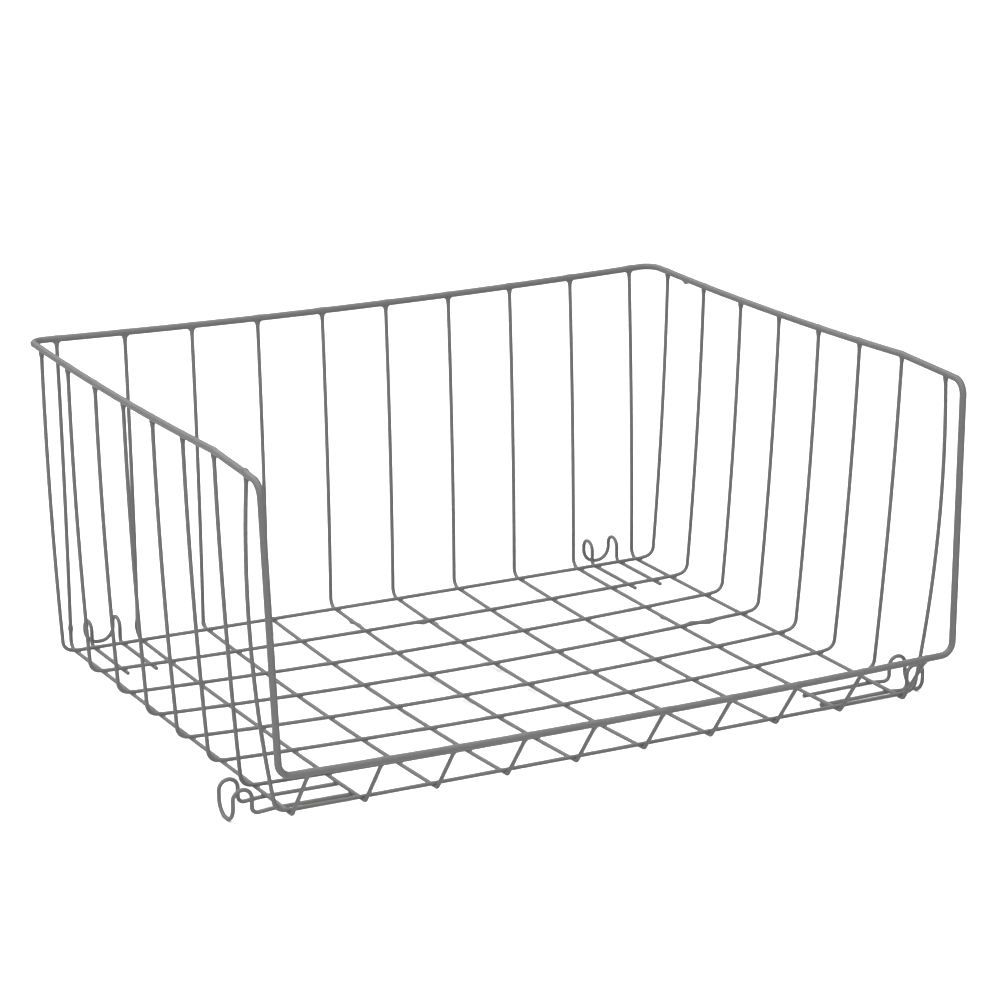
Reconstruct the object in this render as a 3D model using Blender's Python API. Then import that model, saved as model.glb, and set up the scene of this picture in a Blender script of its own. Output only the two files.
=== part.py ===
"""A stacking wire basket with an open front, made of bent and welded round wire.

Ten long wires run down the back, forward under the floor and up to a low front lip.
Eight cross wires lie on them and run up both sides to the rim. The rim is one closed
loop of thicker wire: back bar, side bars, front posts and lip bar. Four hooks, one at
each side near the front and two at the back, drop over the rim of a basket below.

Units are metres, +Z is up, the open front faces -Y. The origin is under the middle of
the basket's box, level with the lowest feet.
"""

import math

import bpy
from mathutils import Matrix, Vector

MM = 0.001

# Wire stock
WIRE_DIAMETER = 2.2 * MM
RIM_DIAMETER = 3.8 * MM
WELD_GAP = 0.3 * MM

# Floor grid: how many wires, how far apart, and how deep it hangs
LONG_WIRES = 10
CROSS_WIRES = 8
LONG_PITCH = 40.0 * MM
CROSS_PITCH = 39.4 * MM
BOWL_SAG = 3.5 * MM
CROSS_SAG = 0.5 * MM

# Cross wires: the bend from the floor to the side, and the side's shape
SIDE_BEND_OUTREACH = 8.7 * MM
SIDE_BEND_RADIUS = 6.0 * MM
SIDE_BEND_RISE = 1.2 * MM
SIDE_LEG_BOW = 1.2 * MM
FRONT_LEG_BOW = 5.2 * MM
SIDE_LEG_FORWARD = 1.2 * MM

# Long wires: the bend from the floor to the back, and the kick up to the lip
BACK_BEND_OUTREACH = 10.3 * MM
BACK_BEND_RADIUS = 5.5 * MM
BACK_LEG_DISH = 1.2 * MM
KICK_REACH = 1.7 * MM
KICK_RADIUS = 2.4 * MM

# Rim: places of its centre line, out from the floor's outer bends and up from the cross wires
RIM_BACK_FLARE = 6.8 * MM
RIM_FRONT_FLARE = 12.3 * MM
RIM_BACK_OUTREACH = 16.8 * MM
RIM_FRONT_OUTREACH = 17.1 * MM
RIM_BACK_HEIGHT = 173.5 * MM
RIM_SHOULDER_REACH = 38.2 * MM
RIM_SHOULDER_RISE = 2.2 * MM
RIM_FRONT_DROP = 2.3 * MM
RIM_BACK_RADIUS = 8.0 * MM
RIM_SHOULDER_RADIUS = 120.0 * MM
RIM_FRONT_RADIUS = 8.0 * MM
RIM_LIP_RADIUS = 7.0 * MM
RIM_BACK_SAG = 2.8 * MM
RIM_SIDE_SAG = 2.0 * MM
LIP_FLARE = 7.5 * MM
LIP_OUTREACH = 22.1 * MM
LIP_HEIGHT = 25.9 * MM
LIP_SAG = 1.9 * MM

# Stacking hooks
HOOK_SPACING = 16.8 * MM
HOOK_HUMP_WIDTH = 10.2 * MM
HOOK_HUMP_RADIUS = 5.1 * MM
HOOK_FOOT_RADIUS = 7.8 * MM
HOOK_KNEE_RADIUS = 3.4 * MM
FRONT_HOOK_PITCH_SHARE = 0.6
FRONT_HOOK_OFFSET = 5.2 * MM
FRONT_HOOK_RISE = 13.2 * MM
FRONT_HOOK_DROP = 3.2 * MM
FRONT_TAIL_OVERRUN = 1.0 * MM
BACK_HOOK_OFFSET = 8.2 * MM
BACK_HOOK_RISE = 13.4 * MM
BACK_HOOK_DROP = 1.2 * MM
BACK_TAIL_OVERRUN = 3.5 * MM

# How finely bends and bows are divided
WIRE_BEVEL_STEPS = 2
BEND_STEP = math.radians(20)
LEG_STEPS = 4
BAR_STEPS = 8
TANGENT_ROOM_SHARE = 0.98
FACET_TURN = math.pi / 8

# Powder coat
COAT_COLOUR = (0.13, 0.13, 0.132, 1.0)
COAT_ROUGHNESS = 0.48
COAT_METALLIC = 0.0

# Places worked out from the sizes above
WIRE_RADIUS = WIRE_DIAMETER / 2
RIM_RADIUS = RIM_DIAMETER / 2
LAYER_STEP = WIRE_DIAMETER + WELD_GAP
GRID_HALF_WIDTH = LONG_PITCH * (LONG_WIRES - 1) / 2
GRID_HALF_DEPTH = CROSS_PITCH * (CROSS_WIRES - 1) / 2
BEND_HALF_WIDTH = GRID_HALF_WIDTH + SIDE_BEND_OUTREACH
WIRE_HALF_THICKNESS = WIRE_RADIUS * math.cos(FACET_TURN)
RIM_HALF_THICKNESS = RIM_RADIUS * math.cos(FACET_TURN)
BACK_HOOK_REACH = BACK_HOOK_OFFSET + HOOK_HUMP_WIDTH + WIRE_HALF_THICKNESS
BACK_REACH = max(RIM_BACK_OUTREACH + RIM_HALF_THICKNESS, BACK_HOOK_REACH)
FRONT_REACH = LIP_OUTREACH + RIM_HALF_THICKNESS
GRID_MIDDLE_Y = (FRONT_REACH - BACK_REACH) / 2
BACK_ROW_Y = GRID_MIDDLE_Y + GRID_HALF_DEPTH
FRONT_ROW_Y = GRID_MIDDLE_Y - GRID_HALF_DEPTH
FRONT_HOOK_Y = FRONT_ROW_Y + CROSS_PITCH * FRONT_HOOK_PITCH_SHARE
BACK_HOOK_X = GRID_HALF_WIDTH - LONG_PITCH / 2


def floor_sag(x, y):
    """How far the floor hangs below its corners: a shallow bowl, and a bow across it."""
    across = min(abs(x) / GRID_HALF_WIDTH, 1)
    along = min(abs(y - GRID_MIDDLE_Y) / GRID_HALF_DEPTH, 1)
    return (1 - across**2) * (CROSS_SAG + BOWL_SAG * (1 - along**2))


CROSS_Z = WIRE_HALF_THICKNESS + FRONT_HOOK_DROP + LAYER_STEP + LAYER_STEP


def cross_layer(x, y):
    """Centre height of a cross wire: the upper layer of the floor."""
    return CROSS_Z - floor_sag(x, y)


def long_layer(x, y):
    """Centre height of a long wire: the layer under the cross wires."""
    return cross_layer(x, y) - LAYER_STEP


def tail_layer(x, y):
    """Centre height of a front hook's tail: the layer under the long wires."""
    return long_layer(x, y) - LAYER_STEP


def bend(corner, radius, before, after):
    """Points of the arc that rounds a corner between two neighbours."""
    to_before = (before - corner).normalized()
    to_after = (after - corner).normalized()
    half_angle = to_before.angle(to_after) / 2
    middle = (to_before + to_after).normalized()
    centre = corner + middle * (radius / math.sin(half_angle))
    start = corner + to_before * (radius / math.tan(half_angle))
    turn = math.pi - 2 * half_angle
    axis = to_after.cross(to_before).normalized()
    steps = max(2, math.ceil(turn / BEND_STEP))
    spoke = start - centre
    return [centre + Matrix.Rotation(turn * i / steps, 3, axis) @ spoke for i in range(steps + 1)]


def tangent_length(corner, radius, before, after):
    """How much of each straight a bend takes up."""
    return radius / math.tan((before - corner).angle(after - corner) / 2)


def rounded(corners, radii, closed=False):
    """A path through the corners with each one bent to its radius.

    Two bends on one straight share it where both don't fit. The result is a list with
    the points of each corner in a list of their own.
    """
    count = len(corners)
    places = [Vector(corner) for corner in corners]
    wanted = []
    for i, (place, radius) in enumerate(zip(places, radii)):
        ends_here = not closed and i in (0, count - 1)
        before = places[i - 1]
        after = places[(i + 1) % count]
        wanted.append(0 if ends_here else tangent_length(place, radius, before, after))
    groups = []
    for i, (place, radius) in enumerate(zip(places, radii)):
        if not wanted[i]:
            groups.append([place])
            continue
        before = places[i - 1]
        after = places[(i + 1) % count]
        room = 1
        for other, taken in ((before, wanted[i - 1]), (after, wanted[(i + 1) % count])):
            straight = (other - place).length * TANGENT_ROOM_SHARE
            room = min(room, straight / (wanted[i] + taken))
        groups.append(bend(place, radius * room, before, after))
    return groups


def sagging_bar(start, end, sag, steps):
    """Inner points of a bar that hangs in a parabola between two ends."""
    inner = []
    for i in range(1, steps):
        share = i / steps
        drop = Vector((0, 0, sag * 4 * share * (1 - share)))
        inner.append(start.lerp(end, share) - drop)
    return inner


def powder_coat(name):
    material = bpy.data.materials.new(name)
    material.use_nodes = True
    shader = material.node_tree.nodes["Principled BSDF"]
    shader.inputs["Base Color"].default_value = COAT_COLOUR
    shader.inputs["Roughness"].default_value = COAT_ROUGHNESS
    shader.inputs["Metallic"].default_value = COAT_METALLIC
    material.diffuse_color = COAT_COLOUR
    return material


def wire(name, points, diameter, material, collection, closed=False):
    """A round wire along the points, as a bevelled curve with its cut ends closed."""
    curve = bpy.data.curves.new(name, "CURVE")
    curve.dimensions = "3D"
    curve.bevel_depth = diameter / 2
    curve.bevel_resolution = WIRE_BEVEL_STEPS
    curve.use_fill_caps = True
    spline = curve.splines.new("POLY")
    spline.points.add(len(points) - 1)
    for point, place in zip(spline.points, points):
        point.co = (place.x, place.y, place.z, 1)
        point.tilt = FACET_TURN
    spline.use_cyclic_u = closed
    spline.use_smooth = True
    curve.materials.append(material)
    obj = bpy.data.objects.new(name, curve)
    collection.objects.link(obj)
    return obj


def rim_corners():
    """The eight corners of the rim's centre line, in order round the loop from back left.

    Each side has four: back, shoulder, front and lip. At the shoulder the side bar leaves
    its rise and drops a little to the front bend. In plan it runs straight through.
    """
    back_x = BEND_HALF_WIDTH + RIM_BACK_FLARE
    front_x = BEND_HALF_WIDTH + RIM_FRONT_FLARE
    lip_x = BEND_HALF_WIDTH + LIP_FLARE
    back_y = BACK_ROW_Y + RIM_BACK_OUTREACH
    shoulder_y = FRONT_ROW_Y + RIM_SHOULDER_REACH
    front_y = FRONT_ROW_Y - RIM_FRONT_OUTREACH
    back_z = CROSS_Z + RIM_BACK_HEIGHT
    shoulder_z = back_z + RIM_SHOULDER_RISE
    shoulder_share = (back_y - shoulder_y) / (back_y - front_y)
    shoulder_x = back_x + (front_x - back_x) * shoulder_share
    back = (back_x, back_y, back_z)
    shoulder = (shoulder_x, shoulder_y, shoulder_z)
    front = (front_x, front_y, shoulder_z - RIM_FRONT_DROP)
    lip = (lip_x, FRONT_ROW_Y - LIP_OUTREACH, CROSS_Z + LIP_HEIGHT)
    right = [Vector(place) for place in (back, shoulder, front, lip)]
    left = [Vector((-place.x, place.y, place.z)) for place in right]
    return [left[0], *right, *reversed(left[1:])]


def rim_side_place(y):
    """The centre of the right side bar above a given y."""
    back, shoulder, front = rim_corners()[1:4]
    if y < shoulder.y:
        return shoulder.lerp(front, (shoulder.y - y) / (shoulder.y - front.y))
    share = (back.y - y) / (back.y - shoulder.y)
    drop = Vector((0, 0, RIM_SIDE_SAG * 4 * share * (1 - share)))
    return back.lerp(shoulder, share) - drop


def rim_back_z(x):
    """Centre height of the back bar above a given x."""
    share = (x / rim_corners()[1].x + 1) / 2
    return CROSS_Z + RIM_BACK_HEIGHT - RIM_BACK_SAG * 4 * share * (1 - share)


def lip_place(x):
    """The centre of the lip bar at a given x."""
    corner = rim_corners()[4]
    share = (x / corner.x + 1) / 2
    return Vector((x, corner.y, corner.z - LIP_SAG * 4 * share * (1 - share)))


def rim_path():
    """The closed loop: bends at its eight corners and slightly hanging bars between them."""
    corners = rim_corners()
    side_radii = [RIM_BACK_RADIUS, RIM_SHOULDER_RADIUS, RIM_FRONT_RADIUS, RIM_LIP_RADIUS]
    radii = [RIM_BACK_RADIUS, *side_radii, *reversed(side_radii[1:])]
    sags = (RIM_BACK_SAG, RIM_SIDE_SAG, 0, 0, LIP_SAG, 0, 0, RIM_SIDE_SAG)
    groups = rounded(corners, radii, closed=True)
    points = []
    for i, (group, sag) in enumerate(zip(groups, sags)):
        following = groups[(i + 1) % len(groups)]
        points += group
        if sag:
            points += sagging_bar(group[-1], following[0], sag, BAR_STEPS)
    return points


def bowed_leg(foot, top, bow):
    """Inner points of a leg that bows off the straight line between its ends."""
    shares = [i / LEG_STEPS for i in range(1, LEG_STEPS)]
    return [foot.lerp(top, share) + bow * (4 * share * (1 - share)) for share in shares]


def cross_wire_path(row):
    """Rim to rim: down the left side, over the long wires, up the right side."""
    y = BACK_ROW_Y - row * CROSS_PITCH
    bow = Vector((FRONT_LEG_BOW if row == CROSS_WIRES - 1 else SIDE_LEG_BOW, 0, 0))
    top_y = y - SIDE_LEG_FORWARD
    top = rim_side_place(top_y) - Vector((0, 0, RIM_RADIUS + WELD_GAP))
    edge_z = cross_layer(GRID_HALF_WIDTH, y)
    edge = Vector((GRID_HALF_WIDTH, y, edge_z))
    vertex = Vector((BEND_HALF_WIDTH, y, edge_z + SIDE_BEND_RISE))
    arc = rounded([edge, vertex, top], [0, SIDE_BEND_RADIUS, 0])[1]
    right = arc + bowed_leg(arc[-1], top, bow) + [top]
    left = [Vector((-place.x, place.y, place.z)) for place in reversed(right)]
    floor = []
    for column in range(LONG_WIRES):
        x = column * LONG_PITCH - GRID_HALF_WIDTH
        floor.append(Vector((x, y, cross_layer(x, y))))
    return left + floor + right


def long_wire_path(column):
    """From under the back bar, down the back, under the floor and up to the lip bar."""
    x = column * LONG_PITCH - GRID_HALF_WIDTH
    top_y = BACK_ROW_Y + RIM_BACK_OUTREACH
    top = Vector((x, top_y, rim_back_z(x) - RIM_RADIUS - WELD_GAP))
    back_vertex = Vector((x, BACK_ROW_Y + BACK_BEND_OUTREACH, long_layer(x, BACK_ROW_Y)))
    rows = [BACK_ROW_Y - row * CROSS_PITCH for row in range(CROSS_WIRES)]
    floor = [Vector((x, y, long_layer(x, y))) for y in rows]
    kick = Vector((x, FRONT_ROW_Y - KICK_REACH, long_layer(x, FRONT_ROW_Y)))
    lip = lip_place(x)
    end = lip + (kick - lip).normalized() * (RIM_RADIUS + WELD_GAP)
    back_arc = rounded([top, back_vertex, floor[0]], [0, BACK_BEND_RADIUS, 0])[1]
    kick_arc = rounded([floor[-1], kick, end], [0, KICK_RADIUS, 0])[1]
    back_leg = bowed_leg(top, back_arc[0], Vector((0, -BACK_LEG_DISH, 0)))
    return [top, *back_leg, *back_arc, *floor[1:], *kick_arc, end]


def hook_path(tail_start, knee, outwards, sideways, rise, drop):
    """One hook: tail, knee, hump, foot, and the same again mirrored.

    The tail's end, the knee and the foot lie halfway between the two tails, which stand
    apart along sideways. rise and drop are measured from the knee's height.
    """
    half = sideways * (HOOK_SPACING / 2)
    up = Vector((0, 0, rise))
    down = Vector((0, 0, drop))
    far = knee + outwards * HOOK_HUMP_WIDTH
    side = [tail_start, knee, knee + up, far + up, far - down]
    corners = [place + half for place in side]
    corners += [place - half for place in reversed(side)]
    side_radii = [0, HOOK_KNEE_RADIUS, HOOK_HUMP_RADIUS, HOOK_HUMP_RADIUS, HOOK_FOOT_RADIUS]
    radii = side_radii + side_radii[::-1]
    return [place for group in rounded(corners, radii) for place in group]


def front_hook_path(side):
    """A hook on the left (-1) or right (1), its tails under the two outer long wires."""
    tail_x = GRID_HALF_WIDTH - LONG_PITCH - FRONT_TAIL_OVERRUN
    knee_x = BEND_HALF_WIDTH + FRONT_HOOK_OFFSET
    tail_z = tail_layer(tail_x, FRONT_HOOK_Y)
    knee_z = tail_layer(knee_x, FRONT_HOOK_Y)
    tail_start = Vector((side * tail_x, FRONT_HOOK_Y, tail_z))
    knee = Vector((side * knee_x, FRONT_HOOK_Y, knee_z))
    outwards = Vector((side, 0, 0))
    sideways = Vector((0, 1, 0))
    return hook_path(tail_start, knee, outwards, sideways, FRONT_HOOK_RISE, FRONT_HOOK_DROP)


def back_hook_path(side):
    """A hook at the back left (-1) or right (1), its tails under the two rear cross wires."""
    x = side * BACK_HOOK_X
    tail_y = BACK_ROW_Y - CROSS_PITCH - BACK_TAIL_OVERRUN
    knee_y = BACK_ROW_Y + BACK_HOOK_OFFSET
    tail_start = Vector((x, tail_y, long_layer(x, tail_y)))
    knee = Vector((x, knee_y, long_layer(x, BACK_ROW_Y)))
    outwards = Vector((0, 1, 0))
    sideways = Vector((1, 0, 0))
    return hook_path(tail_start, knee, outwards, sideways, BACK_HOOK_RISE, BACK_HOOK_DROP)


def clear_scene():
    for obj in list(bpy.data.objects):
        bpy.data.objects.remove(obj)


def main():
    clear_scene()
    basket = bpy.data.collections.new("wire_basket")
    bpy.context.scene.collection.children.link(basket)
    rim_coat = powder_coat("rim_coat")
    grid_coat = powder_coat("grid_coat")
    hook_coat = powder_coat("hook_coat")
    wire("rim", rim_path(), RIM_DIAMETER, rim_coat, basket, closed=True)
    for row in range(CROSS_WIRES):
        wire(f"cross_wire_{row + 1}", cross_wire_path(row), WIRE_DIAMETER, grid_coat, basket)
    for column in range(LONG_WIRES):
        wire(f"long_wire_{column + 1}", long_wire_path(column), WIRE_DIAMETER, grid_coat, basket)
    for side, word in ((-1, "left"), (1, "right")):
        wire(f"hook_front_{word}", front_hook_path(side), WIRE_DIAMETER, hook_coat, basket)
        wire(f"hook_back_{word}", back_hook_path(side), WIRE_DIAMETER, hook_coat, basket)


main()
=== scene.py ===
# %% [markdown]
# # A powder-coated wire basket
#
# The basket is 23 pieces of round steel wire, welded where they touch and then coated with
# one satin grey powder. The solids that this script loads have the right places and sizes,
# but eight flat sides to each wire and a small gap at each weld. So every wire is made again
# here, round and smooth, and the welds between them are added as pieces of their own.

# %% Load the solids
import math

import bpy
import numpy as np
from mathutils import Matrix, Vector


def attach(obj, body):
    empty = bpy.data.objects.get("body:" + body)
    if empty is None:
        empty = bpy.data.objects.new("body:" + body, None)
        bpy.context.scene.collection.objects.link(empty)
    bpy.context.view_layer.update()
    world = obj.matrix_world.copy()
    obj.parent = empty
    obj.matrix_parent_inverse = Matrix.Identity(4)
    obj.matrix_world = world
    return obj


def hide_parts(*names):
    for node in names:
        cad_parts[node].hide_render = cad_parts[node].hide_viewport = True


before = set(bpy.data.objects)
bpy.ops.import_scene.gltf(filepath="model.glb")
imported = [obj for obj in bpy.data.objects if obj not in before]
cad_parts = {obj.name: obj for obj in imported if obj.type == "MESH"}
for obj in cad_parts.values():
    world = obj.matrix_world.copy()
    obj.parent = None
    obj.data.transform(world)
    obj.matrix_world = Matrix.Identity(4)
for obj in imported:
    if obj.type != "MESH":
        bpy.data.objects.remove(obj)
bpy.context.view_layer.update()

# %% [markdown]
# ## Sizes
#
# A wire basket is described by a few numbers: the wire gauges, the pitch of the floor grid
# and where the bends sit. They are the sizes that the solids have, in metres, so each round
# wire runs through the middle of its own solid. Two things differ on purpose. Resistance
# welding presses hot wires into each other, so the real layers lie closer than a wire's
# thickness, and the welded layers here are drawn together by a fraction of a millimetre. And
# the lip bar hangs a little crooked, as told where the rim is made.

# %% Wire and floor sizes
MM = 0.001
WIRE_RADIUS = 1.1 * MM
RIM_RADIUS = 1.9 * MM
SOLID_GAP = 0.3 * MM
WELD_SINK = 0.3 * MM
SOLID_STEP = 2 * WIRE_RADIUS + SOLID_GAP
WELDED_STEP = 2 * WIRE_RADIUS - WELD_SINK
LAYER_SHIFT = (SOLID_STEP - WELDED_STEP) / 2

LONG_WIRES = 10
CROSS_WIRES = 8
LONG_PITCH = 40.0 * MM
CROSS_PITCH = 39.4 * MM
BOWL_SAG = 3.5 * MM
CROSS_SAG = 0.5 * MM
CROSS_Z = 9.216 * MM
BACK_ROW_Y = 140.12 * MM
GRID_HALF_WIDTH = LONG_PITCH * (LONG_WIRES - 1) / 2
GRID_HALF_DEPTH = CROSS_PITCH * (CROSS_WIRES - 1) / 2
FRONT_ROW_Y = BACK_ROW_Y - 2 * GRID_HALF_DEPTH
GRID_MIDDLE_Y = (BACK_ROW_Y + FRONT_ROW_Y) / 2
COLUMN_X = LONG_PITCH * np.arange(LONG_WIRES) - GRID_HALF_WIDTH
ROW_Y = BACK_ROW_Y - CROSS_PITCH * np.arange(CROSS_WIRES)
print("floor grid in mm:", 2 * GRID_HALF_WIDTH / MM, "by", 2 * GRID_HALF_DEPTH / MM)

# %% Heights of the floor's layers
def floor_sag(x, y):
    """How far the floor hangs: (1 - across squared) times (a bow + a bowl (1 - along squared))."""
    across = np.minimum(np.abs(x) / GRID_HALF_WIDTH, 1)
    along = np.minimum(np.abs(y - GRID_MIDDLE_Y) / GRID_HALF_DEPTH, 1)
    return (1 - across**2) * (CROSS_SAG + BOWL_SAG * (1 - along**2))


def cross_layer(x, y):
    """Centre height of the cross wires, sunk towards the long wires by half the closing."""
    return CROSS_Z - floor_sag(x, y) - LAYER_SHIFT


def long_layer(x, y):
    """Centre height of the long wires, one welded step under the cross wires."""
    return cross_layer(x, y) - WELDED_STEP


print("lowest long wire, mm:", round(long_layer(0, GRID_MIDDLE_Y) / MM, 2))

# %% [markdown]
# ## The camera
#
# The camera stands where the photograph's camera stood. The floor grid gives it away: its
# squares have one pitch, so the way they shrink and slant in the picture fixes the distance,
# the angles and the focal length. It is made first, because everything is judged through it.

# %% Camera
CAMERA_PLACE = Vector((-894.6, -1681.2, 669.7)) * MM
CAMERA_AZIMUTH = math.radians(28.27)
CAMERA_DIP = math.radians(16.47)
FOCAL_PIXELS = 3706.2
PICTURE_PIXELS = 1000
SENSOR_WIDTH = 36.0

level = math.cos(CAMERA_DIP)
look = Vector((
    math.sin(CAMERA_AZIMUTH) * level,
    math.cos(CAMERA_AZIMUTH) * level,
    -math.sin(CAMERA_DIP),
))
camera_data = bpy.data.cameras.new("camera")
camera_data.sensor_width = SENSOR_WIDTH
camera_data.lens = FOCAL_PIXELS / PICTURE_PIXELS * SENSOR_WIDTH
camera = bpy.data.objects.new("camera", camera_data)
camera.location = CAMERA_PLACE
camera.rotation_euler = look.to_track_quat("-Z", "Y").to_euler()
bpy.context.scene.collection.objects.link(camera)
bpy.context.scene.camera = camera
print("lens in mm:", round(camera_data.lens, 1))

# %% [markdown]
# ## Shader maths as Python
#
# A material is a network of nodes, and arithmetic in it is one Math node for each sign. The
# small class below wraps an output socket, so that `0.4 + 0.1 * grain` adds those nodes by
# itself. Every other kind of node comes from one method that takes its type, its settings and
# what goes into its sockets.

# %% Sockets that can be added and multiplied
class Term:
    """An output socket that takes part in Python arithmetic."""

    def __init__(self, finish, socket):
        self.finish = finish
        self.socket = socket

    def __add__(self, other):
        return self.finish.maths("ADD", self, other)

    def __sub__(self, other):
        return self.finish.maths("SUBTRACT", self, other)

    def __rsub__(self, other):
        return self.finish.maths("SUBTRACT", other, self)

    def __mul__(self, other):
        return self.finish.maths("MULTIPLY", self, other)

    __radd__ = __add__
    __rmul__ = __mul__


class Finish:
    """One material and its nodes."""

    def __init__(self, name):
        self.material = bpy.data.materials.new(name)
        self.material.use_nodes = True
        self.tree = self.material.node_tree
        self.shader = self.tree.nodes["Principled BSDF"]

    def plug(self, socket, value):
        """Links a term to a socket, or sets the socket to a plain value."""
        if isinstance(value, Term):
            self.tree.links.new(value.socket, socket)
        else:
            socket.default_value = value

    def node(self, kind, settings, sockets, output=0):
        """A node of this type: its settings first, then its sockets, by name or number."""
        made = self.tree.nodes.new(kind)
        for name, value in settings.items():
            setattr(made, name, value)
        for key, value in sockets.items():
            self.plug(made.inputs[key], value)
        return Term(self, made.outputs[output])

    def maths(self, operation, first, second):
        """A Math node that joins two values or terms."""
        return self.node("ShaderNodeMath", {"operation": operation}, {0: first, 1: second})


# %% [markdown]
# ## The powder coat
#
# Powder coat is plastic dust, baked until it flows. It is never quite flat: it keeps a fine
# orange peel with lumps about a millimetre apart, with a finer grain on that. The grey drifts
# a little where the coat is thicker or thinner. Colour, gloss and relief all come from noise in
# the piece's own coordinates, so the pattern keeps its real size on thick and thin wires alike.

# %% Powder coat material
COAT_DARK = (0.0660, 0.0655, 0.0650, 1.0)
COAT_LIGHT = (0.0905, 0.0900, 0.0895, 1.0)
DRIFT_NOISE = (22 * MM, 2.0)
PEEL_NOISE = (1.1 * MM, 1.0)
GRAIN_NOISE = (0.28 * MM, 2.0)
DRIFT_SHARE = 0.65
GRAIN_RELIEF = 0.22
RELIEF_HEIGHT = 0.03 * MM
COAT_ROUGHNESS = 0.5
PEEL_ROUGHNESS = 0.10
GRAIN_ROUGHNESS = 0.05
SPECULAR_LEVEL = 0.12
MIX_FACTOR, MIX_FIRST, MIX_SECOND, MIX_RESULT = 0, 6, 7, 2


def powder_coat(name):
    """Grey mixed by slow noise, roughness from fine noise, and relief from peel plus grain.

    Each noise is given by the size of its lumps and its detail. The four numbers of the Mix
    node are those of its colour sockets, which share their names with its other sockets.
    """
    finish = Finish(name)
    place = finish.node("ShaderNodeTexCoord", {}, {}, output="Object")

    def noise(size, detail):
        """Noise in the piece's own coordinates, with lumps of this size."""
        sockets = {"Vector": place, "Scale": 1 / size, "Detail": detail}
        return finish.node("ShaderNodeTexNoise", {}, sockets)

    drift = noise(*DRIFT_NOISE)
    peel = noise(*PEEL_NOISE)
    grain = noise(*GRAIN_NOISE)
    thickness = DRIFT_SHARE * drift + (1 - DRIFT_SHARE) * grain
    colours = {MIX_FACTOR: thickness, MIX_FIRST: COAT_DARK, MIX_SECOND: COAT_LIGHT}
    grey = finish.node("ShaderNodeMix", {"data_type": "RGBA"}, colours, output=MIX_RESULT)
    height = peel + GRAIN_RELIEF * grain
    relief = finish.node("ShaderNodeBump", {}, {"Height": height, "Distance": RELIEF_HEIGHT})
    gloss = COAT_ROUGHNESS + PEEL_ROUGHNESS * (peel - 0.5) + GRAIN_ROUGHNESS * grain
    finish.plug(finish.shader.inputs["Base Color"], grey)
    finish.plug(finish.shader.inputs["Roughness"], gloss)
    finish.plug(finish.shader.inputs["Normal"], relief)
    finish.plug(finish.shader.inputs["Specular IOR Level"], SPECULAR_LEVEL)
    return finish.material


coats = {f"{group}_coat": powder_coat(f"{group}_powder_coat") for group in ("rim", "grid", "hook")}
print("slots and materials:", {slot: coat.name for slot, coat in coats.items()})

# %% [markdown]
# ## Bent wire as a path
#
# A wire bender works with straight runs and round bends, so a path is a list of corners with
# a radius for each. Every corner becomes an arc that touches both runs. Bezier curves would
# be quicker to draw, but their bends are only nearly round, and round bends are what the eye
# knows from wire.

# %% Bends
BEND_STEP = math.radians(6)
LEAST_BEND_POINTS = 4
SHARED_RUN = 0.98
TINY = 1e-9


def unit(v):
    """Vectors divided by their own lengths."""
    return v / np.linalg.norm(v, axis=-1, keepdims=True)


def bend(before, corner, after, radius):
    """The arc centre + radius (cos t times the first spoke + sin t times the way in).

    The centre lies on the corner's bisector, radius / sin(half angle) from the corner.
    """
    back = unit(before - corner)
    onward = unit(after - corner)
    half = math.acos(back @ onward) / 2
    centre = corner + unit(back + onward) * radius / math.sin(half)
    spoke = unit(corner + back * radius / math.tan(half) - centre)
    turn = math.pi - 2 * half
    t = np.linspace(0, turn, max(LEAST_BEND_POINTS, math.ceil(turn / BEND_STEP) + 1))[:, None]
    return centre + radius * (np.cos(t) * spoke - np.sin(t) * back)


def bends(corners, radii, closed=False):
    """Each corner's points: an arc, or the corner itself at an open end.

    A bend takes radius / tan(half angle) of both its runs. Two bends that want more than the
    run between them get smaller in the same proportion.
    """
    corners = np.asarray(corners, float)
    before = np.roll(corners, 1, axis=0)
    after = np.roll(corners, -1, axis=0)
    cosine = (unit(before - corners) * unit(after - corners)).sum(axis=1)
    wanted = np.asarray(radii) / np.tan(np.arccos(np.clip(cosine, -1, 1)) / 2)
    if not closed:
        wanted[[0, -1]] = 0
    run = np.linalg.norm(after - corners, axis=1) * SHARED_RUN
    need = wanted + np.roll(wanted, -1)
    room = np.minimum(1, run / np.maximum(need, TINY))
    room = np.minimum(room, np.roll(room, 1))
    made = []
    for i, corner in enumerate(corners):
        if wanted[i] == 0:
            made.append(corner[None])
        else:
            made.append(bend(before[i], corner, after[i], radii[i] * room[i]))
    return made


right_angle = bend(np.array([1, 0, 0]), np.zeros(3), np.array([0, 1, 0]), 10 * MM)
print("a right-angled bend has", len(right_angle), "points")

# %% Runs, bars and legs
RING_STEP = 1.0 * MM
BAR_POINTS = 40


def filled(path, closed=False):
    """The same path with its long runs cut into equal parts of at most the ring step."""
    if closed:
        path = np.vstack([path, path[:1]])
    run = np.linalg.norm(np.diff(path, axis=0), axis=1)
    parts = np.maximum(1, np.ceil(run / RING_STEP).astype(int))
    first = np.repeat(np.arange(len(run)), parts)
    step = np.arange(len(first)) - np.repeat(np.cumsum(parts) - parts, parts)
    inner = path[first] + (step / parts[first])[:, None] * (path[first + 1] - path[first])
    return inner if closed else np.vstack([inner, path[-1:]])


def hanging(start, end, sag):
    """A bar between two points that hangs in a parabola: sag times 4 s (1 - s) under its chord."""
    s = np.linspace(0, 1, BAR_POINTS)[1:-1, None]
    return start + s * (end - start) - np.array([0, 0, sag]) * 4 * s * (1 - s)


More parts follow.
